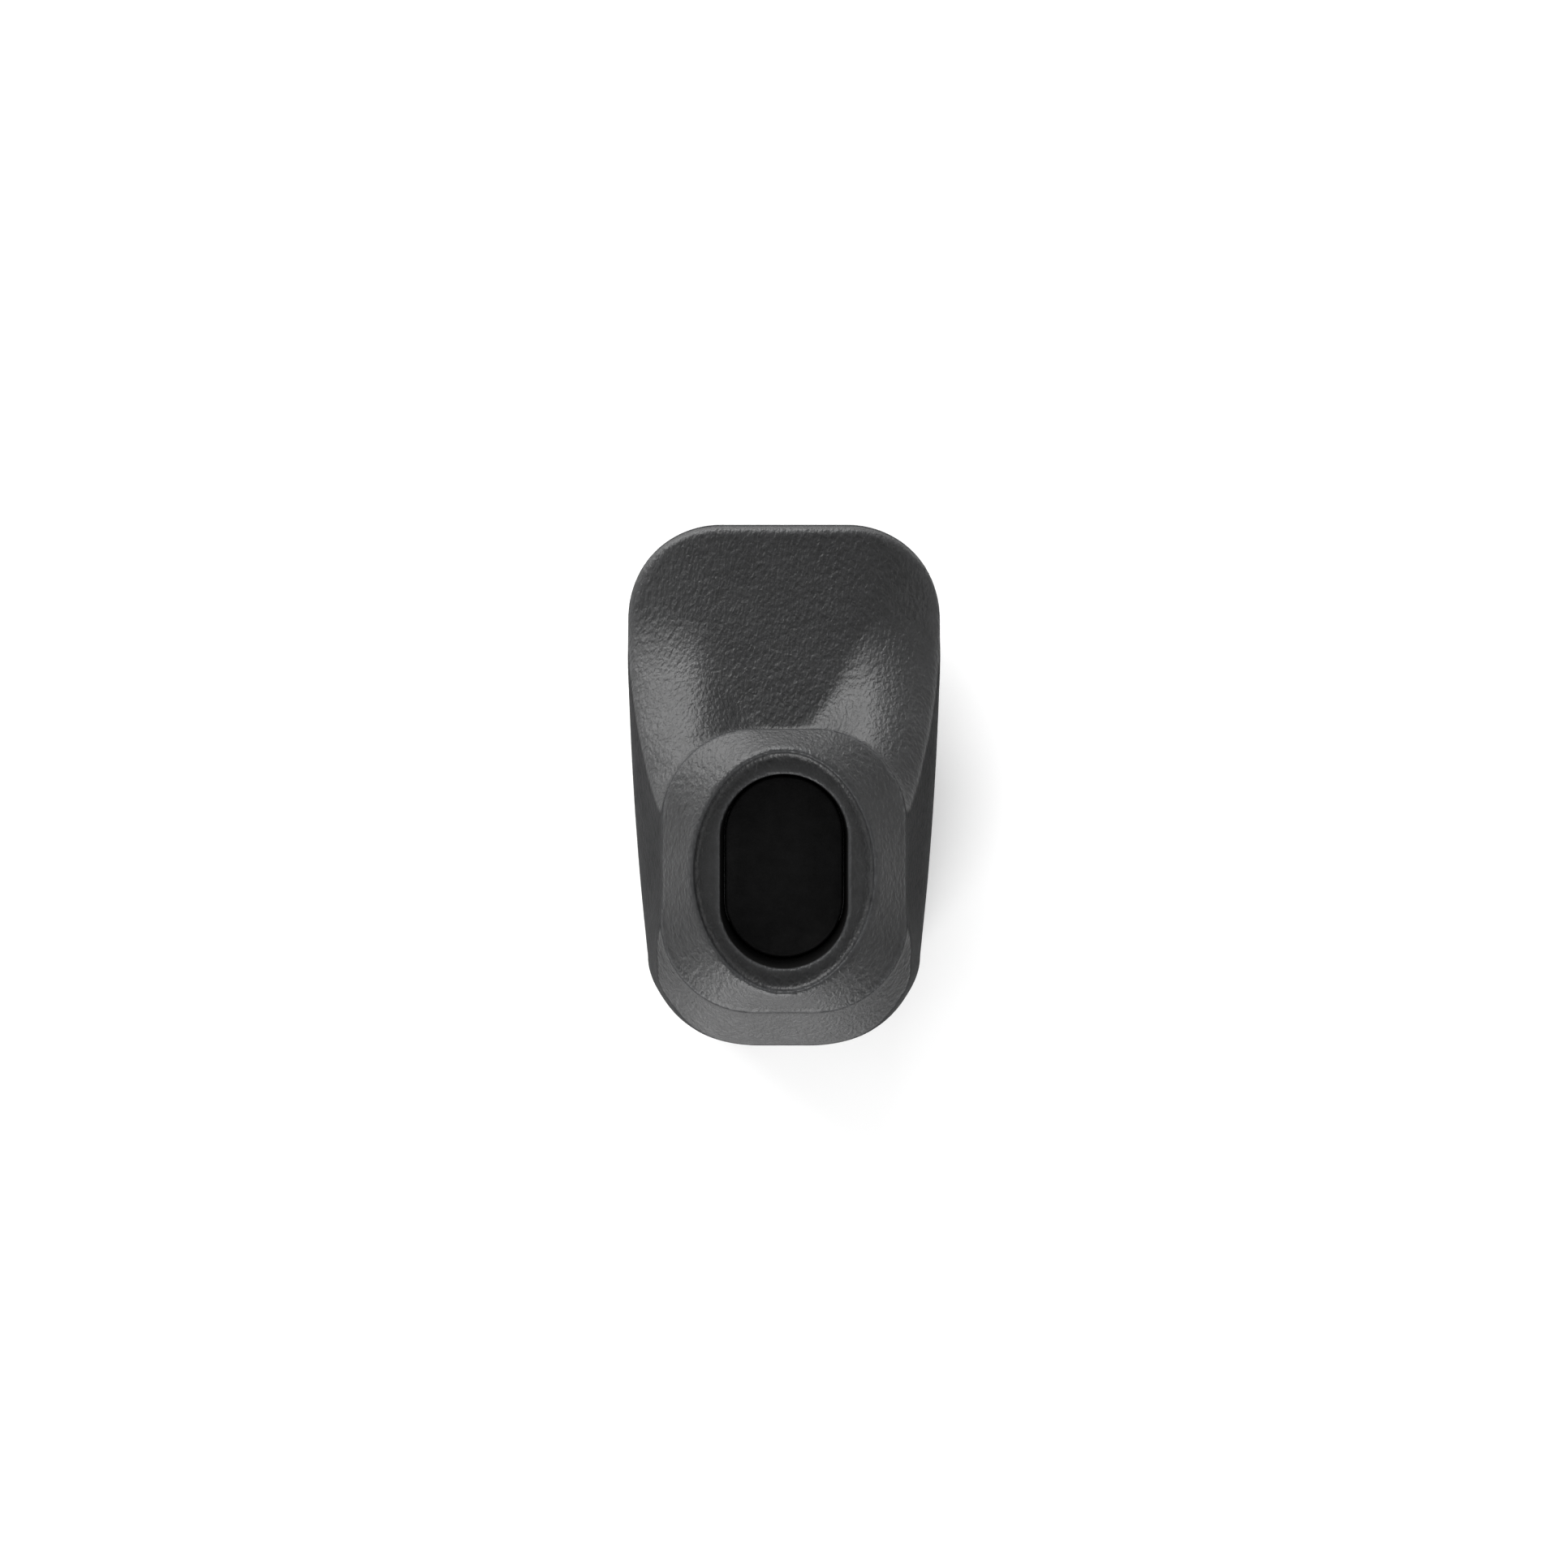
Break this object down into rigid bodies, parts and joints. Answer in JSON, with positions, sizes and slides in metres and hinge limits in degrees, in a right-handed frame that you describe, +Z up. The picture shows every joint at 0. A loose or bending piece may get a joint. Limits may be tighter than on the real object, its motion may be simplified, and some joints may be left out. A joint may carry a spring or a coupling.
{
  "type": "excavator bucket tooth",
  "caption": "Cast excavator bucket tooth with a nose socket, a scooped blade and an upright drop-in cam lock under a rubber dirt plug.",
  "frame": {"origin": "where the axis of the lock and of the drift hole meets the flat belly of the casting", "axes": "+Y to the cutting edge, +Z up through the lock hole, +X to the right seen from behind"},
  "size_m": [0.12, 0.1945, 0.098],
  "materials": {
    "cast_steel": "dark grey coated casting with a fine pebbled skin",
    "lock_steel": "phosphated forged steel",
    "bright_steel": "zinc plated, satin",
    "bronze": "turned bearing bronze",
    "black_rubber": "matte, fine grain"
  },
  "bodies": {
    "tooth": {"tooth_casting": "cast_steel"},
    "lock": {"lock_housing": "lock_steel", "lock_lid": "lock_steel", "lid_screws": "bright_steel", "lid_dowels": "bright_steel", "upper_bush": "bronze", "lower_bush": "bronze", "thrust_washer": "bright_steel", "wave_spring": "bright_steel", "head_seal": "black_rubber", "foot_seal": "black_rubber", "foot_cap": "bright_steel", "take_up_pad": "black_rubber", "shoe_screws": "bright_steel", "seat_pad": "black_rubber"},
    "spindle": {"cam_spindle": "bright_steel", "retaining_ring": "bright_steel"},
    "shoe": {"pressure_shoe": "bright_steel"},
    "plug": {"dirt_plug": "black_rubber", "plug_core": "bright_steel"}
  },
  "joints": [
    {"name": "lock_lift", "type": "slide", "parent": "tooth", "child": "lock", "axis": [0, 0, 1], "range_m": [0, 0.095]},
    {"name": "cam_turn", "type": "hinge", "parent": "lock", "child": "spindle", "pos_m": [0, 0, 0.05], "axis": [0, 0, 1], "range_deg": [0, 90]},
    {"name": "shoe_press", "type": "slide", "parent": "lock", "child": "shoe", "axis": [0, -1, 0], "range_m": [0, 0.0015], "stiffness_N_per_m": 20000},
    {"name": "plug_pull", "type": "slide", "parent": "lock", "child": "plug", "axis": [0, 0, 1], "range_m": [0, 0.045]}
  ]
}
